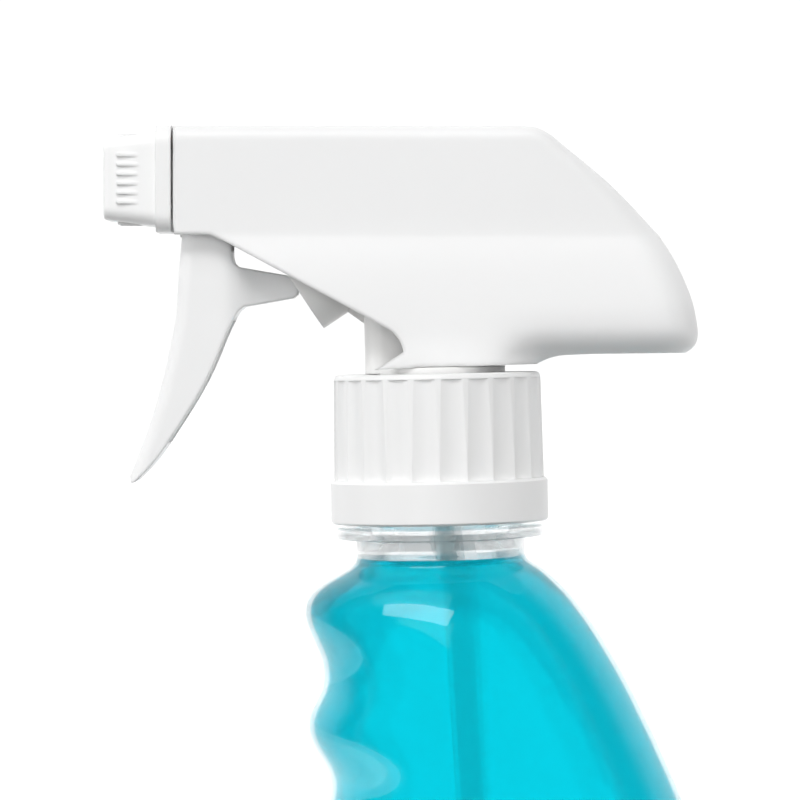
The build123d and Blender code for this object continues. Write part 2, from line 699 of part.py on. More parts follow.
# ---------------------------------------------------------------- shroud
# outer ring at height v: half width at the front, half width at the tail, rear edge, rear corner radius
UPPER_RINGS = [
    (45.9, 8.70, 8.70, 35.0, 4.9),
    (49.3, 8.60, 8.60, 31.8, 4.5),
    (53.2, 8.52, 8.52, 28.0, 4.0),
    (57.0, 8.42, 8.42, 23.7, 3.6),
    (61.1, 8.34, 8.34, 18.7, 3.1),
]
# the tail's rings draw in below, which rounds its lower edge
LOWER_RINGS = [
    (45.9, 8.70, 8.70, 35.0, 4.9),
    (44.8, 9.04, 9.04, 35.7, 4.9),
    (43.4, 9.50, 9.50, 36.6, 5.0),
    (41.2, 10.11, 10.11, 37.8, 5.2),
    (38.6, 10.67, 10.67, 39.0, 5.3),
    (36.0, 11.07, 11.07, 40.0, 5.5),
    (33.8, 11.30, 11.28, 40.6, 5.6),
    (32.2, 11.40, 11.19, 40.9, 5.6),
    (30.9, 11.43, 10.96, 41.1, 5.6),
    (29.8, 11.43, 10.50, 41.1, 5.5),
    (28.8, 11.38, 9.80, 40.9, 5.2),
    (28.0, 11.31, 9.02, 40.4, 4.8),
    (27.2, 11.20, 7.90, 39.3, 4.2),
    (26.4, 11.03, 6.65, 37.9, 3.6),
    (25.4, 10.73, 5.78, 36.8, 3.2),
    (24.0, 10.20, 5.20, 36.0, 3.0),
]
TURN = (8.0, 17.5)  # along u, from the front's width to the tail's
TOP_V = 63.3
TOP_ROUND = 2.2


def shroud_ring(v, front_half, tail_half, rear, corner, inset, front):
    """Flat face of the cover's outline at height v, run forward past its mouth."""
    f, h, r, c = front_half - inset, tail_half - inset, rear - inset, corner - inset
    k = c * (1 - math.sqrt(0.5))
    b = min(TURN[1], r - c - 0.5)
    a = TURN[0] + b - TURN[1]
    ahead = head_dir(1, 0)
    halves = []
    for side in (-1, 1):
        halves.append(
            [
                Edge.make_line(head(front, v, side * f), head(a, v, side * f)),
                Edge.make_spline([head(a, v, side * f), head((a + b) / 2, v, side * (f + h) / 2), head(b, v, side * h)], tangents=[ahead, ahead]),
                Edge.make_line(head(b, v, side * h), head(r - c, v, side * h)),
                Edge.make_three_point_arc(head(r - c, v, side * h), head(r - k, v, side * (h - k)), head(r, v, side * (h - c))),
            ]
        )
    back = Edge.make_line(head(r, v, c - h), head(r, v, h - c))
    mouth = Edge.make_line(head(front, v, f), head(front, v, -f))
    return Face(Wire(halves[0] + [back] + halves[1][::-1] + [mouth]))


def cover_solid(inset, front):
    top = TOP_V - inset
    v, f, h, rear, corner = UPPER_RINGS[-1]
    roof = [shroud_ring(v, f, h, rear, corner, inset, front)]
    if inset == 0:
        for angle in (22, 44, 66, 90):
            a = math.radians(angle)
            rise, draw = TOP_ROUND * math.sin(a), TOP_ROUND * (1 - math.cos(a))
            roof.append(shroud_ring(v + rise, f - draw, h - draw, rear - 1.15 * rise - 0.6 * draw, corner, 0, front))
    else:
        roof.append(shroud_ring(top, f - 0.9, h - 0.9, rear - 1.8, corner, inset, front))
    upper = [shroud_ring(*ring, inset, front) for ring in UPPER_RINGS]
    lower = [shroud_ring(*ring, inset, front) for ring in LOWER_RINGS]
    with BuildPart() as cover:
        loft(sections=upper, clean=False)
        loft(sections=lower, clean=False)
        loft(sections=roof, clean=False)
    return cover.part


COVER_OUT = cover_solid(0, -50.0)
COVER_IN = cover_solid(SHROUD_WALL, -55.0)

with BuildPart() as shroud_hollow:
    add(COVER_IN)
    # a floor is left under the tail
    with BuildSketch(HEAD):
        with BuildLine():
            Polyline((12.4, 18), (12.4, 26.8), (15.0, 29.2), (45, 30.2), (45, 18), close=True)
        make_face()
    extrude(amount=20, both=True, mode=Mode.SUBTRACT)

with BuildPart() as shroud:
    add(COVER_OUT)
    add(shroud_hollow.part, mode=Mode.SUBTRACT)
    # mouth
    with BuildSketch(HEAD):
        with BuildLine():
            Polyline((-60, 10), (FRONT_U + 0.25, 10), (FRONT_U + 0.25, 46.3), (FRONT_U, 47.5), (FRONT_U, 70), (-60, 70), close=True)
        make_face()
    extrude(amount=20, both=True, mode=Mode.SUBTRACT)
    # lower edge: slope over the trigger, step to the stem, edge over the collar, rounded tail
    with BuildSketch(HEAD):
        with BuildLine():
            Polyline((-60, 10), (-60, 46.05), (-36.7, 45.95), (-34.9, 45.2), (-32.1, 43.75), (-10.85, 32.35), (-8.1, 30.8))
            ThreePointArc((-8.1, 30.8), (-6.5, 29.1), (-5.9, 27.3))
            Polyline((-5.9, 27.3), (-8.8, 25.45), (-10.5, 24.45), (-4.3, 24.8), (15.4, 25.4))
            ThreePointArc((15.4, 25.4), (17.3, 26.3), (19.5, 26.8))
            Polyline((19.5, 26.8), (24.0, 27.0), (50, 27.3), (50, 10), (-60, 10))
        make_face()
    extrude(amount=20, both=True, mode=Mode.SUBTRACT)
    # room for the collar
    with BuildSketch(Plane.XY.offset(CLOSURE_Z + 20)):
        Circle(COLLAR_R + 0.1)
    extrude(amount=5.0, mode=Mode.SUBTRACT)
save(shroud.part, "shroud")
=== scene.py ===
import math

import bmesh
import bpy
import numpy as np
from mathutils import Matrix, Vector


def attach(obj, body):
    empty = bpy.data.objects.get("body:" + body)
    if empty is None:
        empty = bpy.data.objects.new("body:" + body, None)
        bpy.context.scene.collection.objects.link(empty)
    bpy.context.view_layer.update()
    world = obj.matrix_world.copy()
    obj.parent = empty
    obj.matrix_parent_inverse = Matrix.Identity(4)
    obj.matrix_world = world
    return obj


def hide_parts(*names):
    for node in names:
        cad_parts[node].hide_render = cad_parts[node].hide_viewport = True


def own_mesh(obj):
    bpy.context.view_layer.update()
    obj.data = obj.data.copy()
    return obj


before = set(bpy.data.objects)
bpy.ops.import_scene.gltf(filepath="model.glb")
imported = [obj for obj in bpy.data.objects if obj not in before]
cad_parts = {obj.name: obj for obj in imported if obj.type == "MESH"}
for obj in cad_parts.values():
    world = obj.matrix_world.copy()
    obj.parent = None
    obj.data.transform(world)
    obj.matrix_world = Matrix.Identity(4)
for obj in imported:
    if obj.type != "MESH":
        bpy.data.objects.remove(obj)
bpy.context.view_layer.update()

MM = 0.001
ZC = 0.220  # lower edge of the closure
WORLD_FRONT, WORLD_BACK = 0.06, 1.08
TILT = math.radians(1.2)
CT, ST = math.cos(TILT), math.sin(TILT)


def head(u, v, y=0.0):
    """Head-frame millimetres to row-frame metres."""
    return Vector(((u * CT + v * ST) * MM, y * MM, ZC + (-u * ST + v * CT) * MM))


def head_dir(du, dv):
    return Vector((du * CT + dv * ST, 0.0, -du * ST + dv * CT))


# ------------------------------------------------------------------ camera
cam_data = bpy.data.cameras.new("camera")
cam_data.sensor_width = 36.0
cam_data.lens = 175.5
cam_data.clip_start = 0.05
cam_data.clip_end = 200.0
cam = bpy.data.objects.new("camera", cam_data)
bpy.context.scene.collection.objects.link(cam)
right = head_dir(1, 0)
up0 = head_dir(0, 1)
pitch = math.radians(0.837)
fwd = Vector((0, 1, 0)) * math.cos(pitch) - up0 * math.sin(pitch)
up = up0 * math.cos(pitch) + Vector((0, 1, 0)) * math.sin(pitch)
cam_pos = head(-6.44, 28.74, -628.0)
m = Matrix.Identity(4)
for i in range(3):
    m[i][0], m[i][1], m[i][2], m[i][3] = right[i], up[i], -fwd[i], cam_pos[i]
cam.matrix_world = m
bpy.context.scene.camera = cam


# ------------------------------------------------------------------ materials
def material(name):
    mat = bpy.data.materials.new(name)
    mat.use_nodes = True
    nt = mat.node_tree
    bsdf = nt.nodes["Principled BSDF"]
    return mat, nt, bsdf


def noise(nt, scale, detail=2.0, rough=0.5, vector=None, seed=0.0):
    n = nt.nodes.new("ShaderNodeTexNoise")
    n.noise_dimensions = "4D"
    n.inputs["W"].default_value = seed
    n.inputs["Scale"].default_value = scale
    n.inputs["Detail"].default_value = detail
    n.inputs["Roughness"].default_value = rough
    if vector is not None:
        nt.links.new(vector, n.inputs["Vector"])
    return n


def ramp(nt, fac, stops):
    r = nt.nodes.new("ShaderNodeValToRGB")
    nt.links.new(fac, r.inputs["Fac"])
    e = r.color_ramp.elements
    while len(e) > 1:
        e.remove(e[-1])
    e[0].position, e[0].color = stops[0][0], stops[0][1]
    for p, c in stops[1:]:
        x = e.new(p)
        x.color = c
    return r


def map_range(nt, value, lo, hi):
    r = nt.nodes.new("ShaderNodeMapRange")
    nt.links.new(value, r.inputs["Value"])
    r.inputs["To Min"].default_value = lo
    r.inputs["To Max"].default_value = hi
    return r.outputs["Result"]


def white_plastic(name, tone=(0.86, 0.86, 0.86), rough=(0.26, 0.36), grain=0.012, seed=0.0, sss=0.08, edge=0.3):
    """Injection-moulded polypropylene: faint tone drift, fine moulded texture, slight translucency."""
    mat, nt, bsdf = material(name)
    co = nt.nodes.new("ShaderNodeTexCoord").outputs["Object"]
    drift = noise(nt, 28.0, 3.0, 0.5, co, seed)
    lo = tuple(c * 0.985 for c in tone) + (1,)
    hi = tuple(min(1, c * 1.01) for c in tone) + (1,)
    col = ramp(nt, drift.outputs["Fac"], [(0.3, lo), (0.7, hi)])
    nt.links.new(col.outputs["Color"], bsdf.inputs["Base Color"])
    fine = noise(nt, 2600.0, 2.0, 0.6, co, seed + 3)
    wave = noise(nt, 90.0, 2.0, 0.5, co, seed + 7)
    nt.links.new(map_range(nt, wave.outputs["Fac"], rough[0], rough[1]), bsdf.inputs["Roughness"])
    soft = nt.nodes.new("ShaderNodeBevel")  # moulded edges are rounded by this radius
    soft.samples = 6
    soft.inputs["Radius"].default_value = edge * MM
    b1 = nt.nodes.new("ShaderNodeBump")
    nt.links.new(soft.outputs["Normal"], b1.inputs["Normal"])
    b1.inputs["Strength"].default_value = 0.35
    b1.inputs["Distance"].default_value = grain * MM
    nt.links.new(fine.outputs["Fac"], b1.inputs["Height"])
    b2 = nt.nodes.new("ShaderNodeBump")
    b2.inputs["Strength"].default_value = 0.25
    b2.inputs["Distance"].default_value = 0.05 * MM
    nt.links.new(wave.outputs["Fac"], b2.inputs["Height"])
    nt.links.new(b1.outputs["Normal"], b2.inputs["Normal"])
    nt.links.new(b2.outputs["Normal"], bsdf.inputs["Normal"])
    bsdf.inputs["Subsurface Weight"].default_value = sss
    bsdf.inputs["Subsurface Radius"].default_value = (1.0, 0.95, 0.9)
    bsdf.inputs["Subsurface Scale"].default_value = 1.2 * MM
    bsdf.inputs["IOR"].default_value = 1.49
    return mat


def clear_pet(name):
    """Blow-moulded PET: clear, with faint flow ripple in the wall."""
    mat, nt, bsdf = material(name)
    co = nt.nodes.new("ShaderNodeTexCoord").outputs["Object"]
    ripple = noise(nt, 45.0, 2.0, 0.5, co, 1.0)
    bump = nt.nodes.new("ShaderNodeBump")
    bump.inputs["Strength"].default_value = 0.12
    bump.inputs["Distance"].default_value = 0.12 * MM
    nt.links.new(ripple.outputs["Fac"], bump.inputs["Height"])
    nt.links.new(bump.outputs["Normal"], bsdf.inputs["Normal"])
    tint = ramp(nt, ripple.outputs["Fac"], [(0.3, (0.975, 0.985, 0.99, 1)), (0.7, (0.99, 0.995, 1.0, 1))])
    nt.links.new(tint.outputs["Color"], bsdf.inputs["Base Color"])
    bsdf.inputs["Transmission Weight"].default_value = 1.0
    bsdf.inputs["IOR"].default_value = 1.5
    bsdf.inputs["Roughness"].default_value = 0.015
    return mat


def cyan_liquid(name):
    mat, nt, bsdf = material(name)
    co = nt.nodes.new("ShaderNodeTexCoord").outputs["Object"]
    swirl = noise(nt, 12.0, 2.0, 0.5, co, 5.0)
    tint = ramp(nt, swirl.outputs["Fac"], [(0.25, (0.0, 0.47, 0.585, 1)), (0.75, (0.0, 0.49, 0.605, 1))])
    nt.links.new(tint.outputs["Color"], bsdf.inputs["Base Color"])
    bsdf.inputs["Transmission Weight"].default_value = 1.0
    bsdf.inputs["IOR"].default_value = 1.333
    bsdf.inputs["Roughness"].default_value = 0.0
    return mat


def natural_pe(name, tone=(0.80, 0.82, 0.83), seed=0.0, rough=0.4):
    """Natural polyethylene: milky, with faint drawing lines."""
    mat, nt, bsdf = material(name)
    co = nt.nodes.new("ShaderNodeTexCoord").outputs["Object"]
    mp = nt.nodes.new("ShaderNodeMapping")
    mp.inputs["Scale"].default_value = (900.0, 900.0, 20.0)
    nt.links.new(co, mp.inputs["Vector"])
    lines = noise(nt, 1.0, 2.0, 0.6, mp.outputs["Vector"], seed)
    col = ramp(nt, lines.outputs["Fac"], [(0.3, tuple(c * 0.95 for c in tone) + (1,)), (0.7, tuple(min(1, c * 1.03) for c in tone) + (1,))])
    nt.links.new(col.outputs["Color"], bsdf.inputs["Base Color"])
    bsdf.inputs["Roughness"].default_value = rough
    bsdf.inputs["Subsurface Weight"].default_value = 0.3
    bsdf.inputs["Subsurface Radius"].default_value = (1.0, 1.0, 1.0)
    bsdf.inputs["Subsurface Scale"].default_value = 1.0 * MM
    return mat


def rubber(name, tone, rough=0.6, seed=0.0):
    mat, nt, bsdf = material(name)
    co = nt.nodes.new("ShaderNodeTexCoord").outputs["Object"]
    n = noise(nt, 700.0, 3.0, 0.6, co, seed)
    col = ramp(nt, n.outputs["Fac"], [(0.3, tuple(c * 0.9 for c in tone) + (1,)), (0.7, tuple(min(1, c * 1.06) for c in tone) + (1,))])
    nt.links.new(col.outputs["Color"], bsdf.inputs["Base Color"])
    bsdf.inputs["Roughness"].default_value = rough
    bump = nt.nodes.new("ShaderNodeBump")
    bump.inputs["Strength"].default_value = 0.3
    bump.inputs["Distance"].default_value = 0.03 * MM
    nt.links.new(n.outputs["Fac"], bump.inputs["Height"])
    nt.links.new(bump.outputs["Normal"], bsdf.inputs["Normal"])
    return mat


def steel(name):
    mat, nt, bsdf = material(name)
    co = nt.nodes.new("ShaderNodeTexCoord").outputs["Object"]
    n = noise(nt, 1500.0, 2.0, 0.5, co, 2.0)
    col = ramp(nt, n.outputs["Fac"], [(0.3, (0.55, 0.55, 0.56, 1)), (0.7, (0.7, 0.7, 0.71, 1))])
    nt.links.new(col.outputs["Color"], bsdf.inputs["Base Color"])
    bsdf.inputs["Metallic"].default_value = 1.0
    nt.links.new(map_range(nt, n.outputs["Fac"], 0.2, 0.38), bsdf.inputs["Roughness"])
    return mat


def glass_ball(name):
    mat, nt, bsdf = material(name)
    co = nt.nodes.new("ShaderNodeTexCoord").outputs["Object"]
    n = noise(nt, 300.0, 2.0, 0.5, co, 2.0)
    col = ramp(nt, n.outputs["Fac"], [(0.3, (0.9, 0.95, 0.95, 1)), (0.7, (0.96, 0.98, 0.98, 1))])
    nt.links.new(col.outputs["Color"], bsdf.inputs["Base Color"])
    bsdf.inputs["Transmission Weight"].default_value = 1.0
    bsdf.inputs["IOR"].default_value = 1.52
    bsdf.inputs["Roughness"].default_value = 0.02
    return mat


M_SHROUD = white_plastic("pp_shroud", (0.86, 0.862, 0.862), (0.30, 0.38), 0.010, 0.0, edge=1.3)
M_TRIGGER = white_plastic("pp_trigger", (0.86, 0.862, 0.862), (0.28, 0.38), 0.012, 11.0, edge=0.8)
M_NOZZLE = white_plastic("pp_nozzle", (0.88, 0.882, 0.88), (0.30, 0.40), 0.012, 21.0, edge=0.5)
M_CAP = white_plastic("pp_closure", (0.86, 0.862, 0.86), (0.25, 0.34), 0.010, 31.0, edge=0.18)
M_BODY = white_plastic("pp_body", (0.82, 0.818, 0.81), (0.34, 0.45), 0.015, 41.0, edge=0.4)
M_PET = clear_pet("pet_clear")
M_PET.node_tree.nodes["Principled BSDF"].inputs["Alpha"].default_value = 0.6  # thin wall: part of the light goes straight through
M_LIQUID = cyan_liquid("liquid_cyan")
M_TUBE = natural_pe("pe_tube", (0.80, 0.86, 0.86), 3.0, 0.35)
tube_nt = M_TUBE.node_tree
tube_sep = tube_nt.nodes.new("ShaderNodeSeparateXYZ")
tube_nt.links.new(tube_nt.nodes.new("ShaderNodeTexCoord").outputs["Object"], tube_sep.inputs["Vector"])
tube_wet = tube_nt.nodes.new("ShaderNodeMapRange")  # the wetted length is hardly seen
tube_nt.links.new(tube_sep.outputs["Z"], tube_wet.inputs["Value"])
tube_wet.inputs["From Min"].default_value = 0.2120
tube_wet.inputs["From Max"].default_value = 0.2132
tube_wet.inputs["To Min"].default_value = 0.1
tube_wet.inputs["To Max"].default_value = 0.36
tube_nt.links.new(tube_wet.outputs["Result"], tube_nt.nodes["Principled BSDF"].inputs["Alpha"])
M_PE = natural_pe("pe_small", (0.82, 0.83, 0.83), 9.0)
M_GASKET = rubber("foam_gasket", (0.80, 0.80, 0.79), 0.8, 2.0)
M_SEAL = rubber("elastomer_seal", (0.72, 0.74, 0.76), 0.45, 6.0)
M_ORING = rubber("nitrile_ring", (0.02, 0.02, 0.022), 0.4, 8.0)
M_STEEL = steel("spring_wire")
M_BALL = glass_ball("valve_glass")

CAD_MATERIALS = {
    "shroud": M_SHROUD, "trigger": M_TRIGGER, "nozzle_cap": M_NOZZLE, "screw_cap": M_CAP, "pump_body": M_BODY,
    "dip_tube": M_TUBE, "intake_stem": M_PE, "barrel_plug": M_PE, "swirl_insert": M_PE, "orifice_cup": M_PE, "piston": M_PE,
    "outlet_check_valve": M_SEAL, "piston_vent_seal": M_SEAL, "piston_pressure_seal": M_SEAL, "neck_gasket": M_GASKET,
    "nozzle_o_ring": M_ORING, "return_spring": M_STEEL, "inlet_valve_ball": M_BALL, "bottle": M_PET, "cleaning_liquid": M_LIQUID,
}
for node, mat in CAD_MATERIALS.items():
    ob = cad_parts[node]
    if not ob.material_slots:
        ob.data.materials.append(mat)
    for s in ob.material_slots:
        s.material = mat

# ------------------------------------------------------------------ bottle and liquid surfaces
# stations below the closure edge: z, front x, rear x, half width y, x of the widest line, roundness
STATIONS = np.array([
    (-5.4, -13.60, 13.60, 13.60, 0.0, 2.00),
    (-6.4, -13.85, 14.15, 13.80, 0.0, 2.00),
    (-7.6, -15.30, 15.95, 14.70, 0.1, 2.02),
    (-9.3, -18.40, 18.00, 16.30, 0.2, 2.06),
    (-11.4, -21.00, 20.10, 17.90, 0.4, 2.10),
    (-13.9, -22.00, 22.10, 19.40, 0.6, 2.14),
    (-17.5, -21.20, 24.60, 21.00, 0.9, 2.18),
    (-20.8, -19.85, 26.60, 22.20, 1.2, 2.20),
    (-24.2, -19.25, 28.50, 23.20, 1.4, 2.22),
    (-27.4, -19.95, 30.15, 24.00, 1.6, 2.24),
    (-30.0, -21.30, 31.40, 24.60, 1.8, 2.26),
    (-32.4, -21.85, 32.50, 25.10, 2.0, 2.28),
    (-35.4, -21.10, 33.90, 25.70, 2.1, 2.30),
    (-38.8, -19.25, 35.35, 26.30, 2.2, 2.32),
    (-42.2, -18.50, 36.80, 26.80, 2.3, 2.34),
    (-45.6, -19.30, 38.10, 27.30, 2.4, 2.36),
    (-48.6, -21.00, 39.20, 27.70, 2.5, 2.38),
    (-51.4, -21.90, 40.10, 28.00, 2.5, 2.40),
    (-55.0, -21.60, 41.20, 28.40, 2.6, 2.42),
    (-59.5, -21.10, 42.40, 28.80, 2.6, 2.44),
    (-65.0, -22.60, 43.70, 29.30, 2.6, 2.48),
    (-72.0, -26.60, 45.00, 29.80, 2.6, 2.52),
    (-80.0, -31.60, 46.10, 30.30, 2.5, 2.58),
    (-90.0, -37.00, 47.00, 30.90, 2.5, 2.66),
    (-102.0, -41.40, 47.50, 31.40, 2.5, 2.74),
    (-118.0, -44.20, 47.60, 31.80, 2.5, 2.80),
    (-138.0, -45.20, 47.30, 32.00, 2.5, 2.84),
    (-165.0, -45.20, 46.90, 32.00, 2.5, 2.84),
    (-192.0, -44.60, 46.40, 31.80, 2.5, 2.84),
    (-212.0, -43.60, 45.60, 31.20, 2.5, 2.84),
    (-220.0, -43.00, 45.10, 30.70, 2.5, 2.84),
])


class Curve:
    """Natural cubic spline through the stations, one column at a time."""

    def __init__(self, x, y):
        self.x, self.y = x, y
        n = len(x)
        h = np.diff(x)
        A = np.zeros((n, n))
        b = np.zeros(n)
        A[0, 0] = A[-1, -1] = 1
        for i in range(1, n - 1):
            A[i, i - 1], A[i, i], A[i, i + 1] = h[i - 1], 2 * (h[i - 1] + h[i]), h[i]
            b[i] = 6 * ((y[i + 1] - y[i]) / h[i] - (y[i] - y[i - 1]) / h[i - 1])
        self.m = np.linalg.solve(A, b)
        self.h = h

    def __call__(self, t):
        i = int(np.clip(np.searchsorted(self.x, t) - 1, 0, len(self.h) - 1))
        h, a, b = self.h[i], self.x[i + 1] - t, t - self.x[i]
        m, y = self.m, self.y
        return (m[i] * a**3 + m[i + 1] * b**3) / (6 * h) + (y[i] / h - m[i] * h / 6) * a + (y[i + 1] / h - m[i + 1] * h / 6) * b


DEPTH = -STATIONS[:, 0]
CURVES = [Curve(DEPTH, STATIONS[:, k]) for k in range(1, 6)]
N_RING = 192


def body_ring(depth, inset, z=None, n=N_RING):
    """Ring of the body at that depth below the closure edge, in millimetres; z above the base may differ."""
    xf, xr, half, mid, p = (c(depth) for c in CURVES)
    p = max(p, 2.0)
    out = []
    for k in range(n):
        a = 2 * math.pi * k / n
        ca, sa = math.cos(a), math.sin(a)
        grow = (abs(ca) ** p + abs(sa) ** p) ** (-1 / p)
        ax = (xr - mid) if ca >= 0 else (mid - xf)
        out.append((mid + (ax - inset) * ca * grow, (half - inset) * sa * grow, 220.0 - depth if z is None else z))
    return out


def circle_ring(r, z, cx=0.0, n=N_RING):
    return [(cx + r * math.cos(2 * math.pi * k / n), r * math.sin(2 * math.pi * k / n), z) for k in range(n)]


def mix_rings(a, b, t):
    return [tuple(p + (q - p) * t for p, q in zip(u, v)) for u, v in zip(a, b)]


def mesh_from_rings(name, rings, close_first=False, close_last=False, loop=False, flip=False):
    verts, faces = [], []
    for r in rings:
        verts += [tuple(c * MM for c in p) for p in r]
    n = len(rings[0])
    count = len(rings)
    for j in range(count if loop else count - 1):
        j2 = (j + 1) % count
        for k in range(n):
            k2 = (k + 1) % n
            faces.append((j * n + k, j * n + k2, j2 * n + k2, j2 * n + k))
    if close_first:
        c = len(verts)
        verts.append(tuple(sum(verts[k][i] for k in range(n)) / n for i in range(3)))
        faces += [(c, (k + 1) % n, k) for k in range(n)]
    if close_last:
        c = len(verts)
        base = (count - 1) * n
        verts.append(tuple(sum(verts[base + k][i] for k in range(n)) / n for i in range(3)))
        faces += [(c, base + k, base + (k + 1) % n) for k in range(n)]
    if flip:
        faces = [tuple(reversed(f)) for f in faces]
    me = bpy.data.meshes.new(name)
    me.from_pydata(verts, [], faces)
    me.validate()
    for p in me.polygons:
        p.use_smooth = True
    ob = bpy.data.objects.new(name, me)
    bpy.context.scene.collection.objects.link(ob)
    bm = bmesh.new()
    bm.from_mesh(me)
    bmesh.ops.recalc_face_normals(bm, faces=bm.faces)
    bm.to_mesh(me)
    bm.free()
    return ob


def rounded(points, radii, seg=4):
    """Polyline with its corners rounded; a radius of 0 keeps the corner, doubled points keep it sharp in shading."""
    out = []
    n = len(points)
    for i, (p, r) in enumerate(zip(points, radii)):
        if i in (0, n - 1) or r <= 0:
            out.append(p)
            continue
        a, b, c = Vector(points[i - 1]), Vector(p), Vector(points[i + 1])
        d1, d2 = (a - b).normalized(), (c - b).normalized()
        ang = d1.angle(d2)
        t = min(r / math.tan(ang / 2), 0.49 * (a - b).length, 0.49 * (c - b).length)
        s, e = b + d1 * t, b + d2 * t
        for k in range(seg + 1):
            w = k / seg
            out.append(tuple((s * (1 - w) ** 2 + b * 2 * w * (1 - w) + e * w**2)))
    return out


FOOT_R, FOOT_X, FOOT_CHORD = 205.0, 2.0, 25.0
FOOT_RISE = FOOT_R - math.sqrt(FOOT_R**2 - FOOT_CHORD**2)


def foot_rings(lift, floor, first_ring):
    """Rings from the flat of the foot to the dome's middle."""
    cz = FOOT_RISE - FOOT_R + lift
    rim = math.sqrt(FOOT_R**2 - (floor - cz) ** 2)
    rings = []
    edge = circle_ring(rim, floor, FOOT_X)
    for t in (0.5, 0.93, 1.0):
        rings.append(mix_rings(first_ring, edge, t))
    for k in range(1, 14):
        r = rim * (1 - k / 14)
        rings.append(circle_ring(r, cz + math.sqrt(FOOT_R**2 - r * r), FOOT_X))
    return rings


def heel_rings(depth, inset, floor, radius, steps=9):
    rings = []
    for k in range(1, steps + 1):
        a = math.pi / 2 * k / steps
        rings.append(body_ring(depth, inset + radius * (1 - math.cos(a)), floor + radius * (1 - math.sin(a))))
    return rings


# outer wall, from the body up through the neck to the rim, then down inside
neck_out = rounded(
    [(13.6, 215.3), (13.6, 217.54), (16.6, 217.54), (16.6, 219.35), (13.3, 219.35), (12.5, 220.4), (12.5, 237.8), (10.95, 237.8), (10.95, 218.35), (12.5, 215.75), (12.55, 214.9)],
    [0, 0.45, 0.3, 0.3, 0.25, 0.3, 0.35, 0.3, 0.8, 0.8, 0], 5)
body_depths = list(np.concatenate([np.linspace(5.4, 70, 150), np.linspace(71.5, 215.5, 60)]))
outer = heel_rings(215.5, 0.0, 0.0, 4.5)
outer = list(reversed(foot_rings(0.0, 0.0, outer[-1]))) + list(reversed(outer))
outer += [body_ring(d, 0.0) for d in reversed(body_depths)]
neck_rings = [circle_ring(r, z) for r, z in neck_out[1:]]
inner_depths = list(np.concatenate([np.linspace(6.4, 70, 140), np.linspace(71.5, 215.0, 60)]))
inner = [mix_rings(circle_ring(12.6, 220 - 5.9), body_ring(6.4, 1.0), 0.6)] + [body_ring(d, 1.0) for d in inner_depths]
inner += heel_rings(215.0, 1.0, 1.4, 3.6)
inner += foot_rings(1.3, 1.4, inner[-1])
bottle = mesh_from_rings("bottle_clear", outer + neck_rings + inner, close_first=True, close_last=True)
bottle.data.materials.append(M_PET)
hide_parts("bottle")
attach(bottle, "bottle")


def thread_ridge(name, root, crest, z0, turns, pitch, base_half, crest_half, fade=0.12):
    """Helical ridge that dies away at both ends."""
    verts, faces = [], []
    steps = int(turns * 120)
    prof = [(0.0, -1.0), (0.35, -0.86), (0.8, -0.55), (1.0, -0.3), (1.0, 0.3), (0.8, 0.55), (0.35, 0.86), (0.0, 1.0)]
    for k in range(steps + 1):
        t = k / steps
        a = 2 * math.pi * turns * t
        grow = min(1.0, t * turns / fade, (1 - t) * turns / fade)
        grow = math.sin(grow * math.pi / 2)
        for f, h in prof:
            r = root - 0.1 + (crest - root + 0.1) * f * grow
            half = base_half if abs(h) > 0.5 else base_half
            z = z0 + pitch * turns * t + h * half * (0.5 + 0.5 * grow)
            verts.append((r * math.cos(a) * MM, r * math.sin(a) * MM, z * MM))
    n = len(prof)
    for k in range(steps):
        for i in range(n - 1):
            faces.append((k * n + i, k * n + i + 1, (k + 1) * n + i + 1, (k + 1) * n + i))
        faces.append((k * n + n - 1, k * n, (k + 1) * n, (k + 1) * n + n - 1))
    faces.append(tuple(range(n)))
    faces.append(tuple(steps * n + i for i in reversed(range(n))))
    me = bpy.data.meshes.new(name)
    me.from_pydata(verts, [], faces)
    for p in me.polygons:
        p.use_smooth = True
    ob = bpy.data.objects.new(name, me)
    bpy.context.scene.collection.objects.link(ob)
    bm = bmesh.new()
    bm.from_mesh(me)
    bmesh.ops.recalc_face_normals(bm, faces=bm.faces)
    bm.to_mesh(me)
    bm.free()
    return ob


thread = thread_ridge("bottle_thread", 12.5, 13.7, 229.6, 1.35, 4.23, 1.1, 0.42)
thread.data.materials.append(M_PET)
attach(thread, "bottle")

# liquid: wets the wall, so it reaches slightly into it, with a raised rim at the wall
LEVEL = 220.0 - 7.4
WET = 0.85  # inset of the liquid's side from the outer wall
liq = []
top = [(8.0, 0.0, 0.01), (6.0, 0.0, 0.03), (4.6, 0.0, 0.08), (3.5, 0.0, 0.17), (2.6, 0.0, 0.32), (1.8, 0.0, 0.55), (1.1, 0.0, 0.88), (0.6, 0.0, 1.2), (0.25, 0.0, 1.5), (0.0, 0.0, 1.75)]
ring_at_level = 220.0 - LEVEL
liq.append(body_ring(ring_at_level, WET + 11.0, LEVEL))
for inset, _, rise in top:
    liq.append(body_ring(ring_at_level - rise, WET + inset, LEVEL + rise))
liq_depths = list(np.concatenate([np.linspace(ring_at_level - 0.8, 70, 140), np.linspace(71.5, 215.0, 60)]))
liq += [body_ring(d, WET) for d in liq_depths]
liq += heel_rings(215.0, WET, 1.25, 3.6)
liq += foot_rings(1.18, 1.25, liq[-1])
liquid = mesh_from_rings("liquid_fill", liq, close_first=True, close_last=True)
liquid.data.materials.append(M_LIQUID)
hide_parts("cleaning_liquid")
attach(liquid, "bottle")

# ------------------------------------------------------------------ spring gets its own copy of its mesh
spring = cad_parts["return_spring"]
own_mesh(spring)

# ------------------------------------------------------------------ stage and light
floor_me = bpy.data.meshes.new("floor")
F = 30.0
floor_me.from_pydata([(-F, -F, 0), (F, -F, 0), (F, F, 0), (-F, F, 0)], [], [(0, 1, 2, 3)])
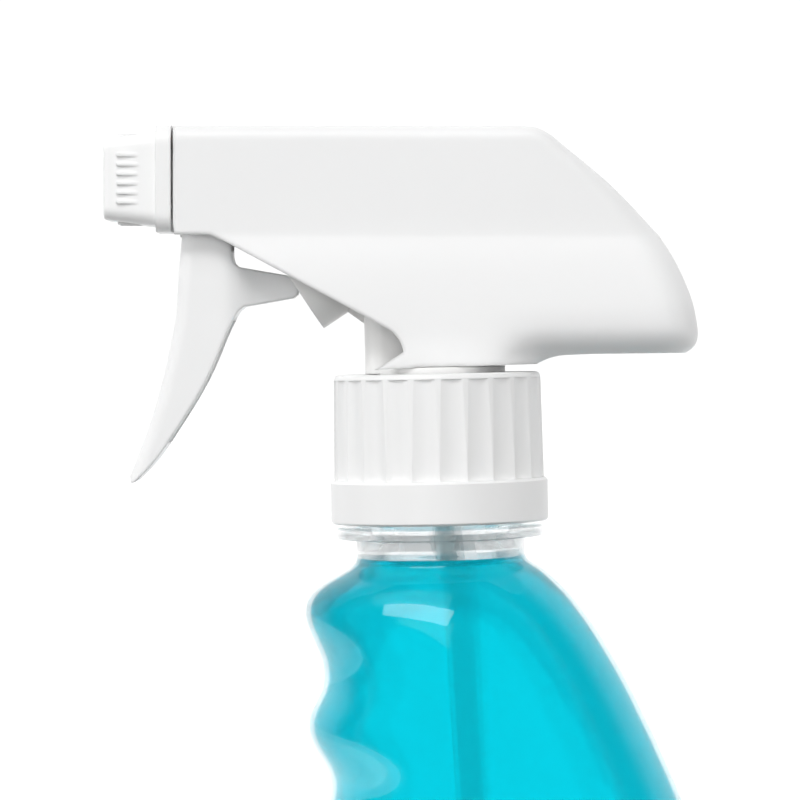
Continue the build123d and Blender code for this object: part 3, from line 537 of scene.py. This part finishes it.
floor = bpy.data.objects.new("floor", floor_me)
bpy.context.scene.collection.objects.link(floor)
mat, nt, bsdf = material("floor_white")
n = noise(nt, 6.0, 2.0, 0.5, None, 0.0)
c = ramp(nt, n.outputs["Fac"], [(0.3, (0.93, 0.93, 0.93, 1)), (0.7, (0.95, 0.95, 0.95, 1))])
nt.links.new(c.outputs["Color"], bsdf.inputs["Base Color"])
bsdf.inputs["Roughness"].default_value = 0.9
bsdf.inputs["Emission Color"].default_value = (1.0, 1.0, 1.0, 1)
bsdf.inputs["Emission Strength"].default_value = 0.82
floor.data.materials.append(mat)
floor.visible_diffuse = False

world = bpy.data.worlds.new("studio")
bpy.context.scene.world = world
world.use_nodes = True
wt = world.node_tree
bg = wt.nodes["Background"]
bg.inputs["Color"].default_value = (1.0, 1.0, 1.0, 1)


def wmath(op, a, b=None):
    """Small arithmetic helper for the studio's surroundings."""
    x = wt.nodes.new("ShaderNodeMath")
    x.operation = op
    for i, v in enumerate((a, b)):
        if v is None:
            continue
        if isinstance(v, (int, float)):
            x.inputs[i].default_value = v
        else:
            wt.links.new(v, x.inputs[i])
    return x.outputs[0]


def wstep(value, lo, hi, to_lo, to_hi):
    r = wt.nodes.new("ShaderNodeMapRange")
    r.interpolation_type = "SMOOTHSTEP"
    wt.links.new(value, r.inputs["Value"])
    r.inputs["From Min"].default_value = lo
    r.inputs["From Max"].default_value = hi
    r.inputs["To Min"].default_value = to_lo
    r.inputs["To Max"].default_value = to_hi
    return r.outputs["Result"]


# a white wall behind the object, a dim studio in front of it
wsep = wt.nodes.new("ShaderNodeSeparateXYZ")
wt.links.new(wt.nodes.new("ShaderNodeTexCoord").outputs["Generated"], wsep.inputs["Vector"])
behind = wstep(wsep.outputs["Y"], 0.1, 0.6, WORLD_FRONT, WORLD_BACK)
wt.links.new(behind, bg.inputs["Strength"])


def area(name, loc, target, w, h, power, color=(1, 1, 1)):
    d = bpy.data.lights.new(name, "AREA")
    d.shape = "RECTANGLE"
    d.size, d.size_y = w, h
    d.energy = power
    d.color = color
    o = bpy.data.objects.new(name, d)
    bpy.context.scene.collection.objects.link(o)
    o.location = loc
    o.rotation_euler = (Vector(target) - Vector(loc)).to_track_quat("-Z", "Y").to_euler()
    return o


area("high_softbox", (-0.39, -0.84, 1.43), (0, 0, 0.25), 1.0, 0.35, 5.5)
fill = area("high_fill", (-0.39, -0.84, 1.43), (0, 0, 0.25), 1.3, 0.6, 10.0)
fill.visible_glossy = False
fill.visible_transmission = False
left = area("left_softbox", (-1.25, -0.34, 0.36), (0, 0, 0.25), 0.8, 1.2, 9.8)
left.visible_glossy = False
right_box = area("right_softbox", (1.2, -0.7, 0.44), (0, 0, 0.25), 1.5, 1.7, 9.5)
right_box.visible_transmission = False
right_box.visible_glossy = False
left.visible_transmission = False
front = area("front_softbox", (0.0, -1.8, 0.41), (0, 0, 0.25), 1.6, 1.2, 11.8)
front.visible_glossy = False
front.visible_transmission = False

bpy.context.scene.view_settings.view_transform = "Standard"
bpy.context.scene.view_settings.look = "None"
bpy.context.scene.view_settings.exposure = 0.0
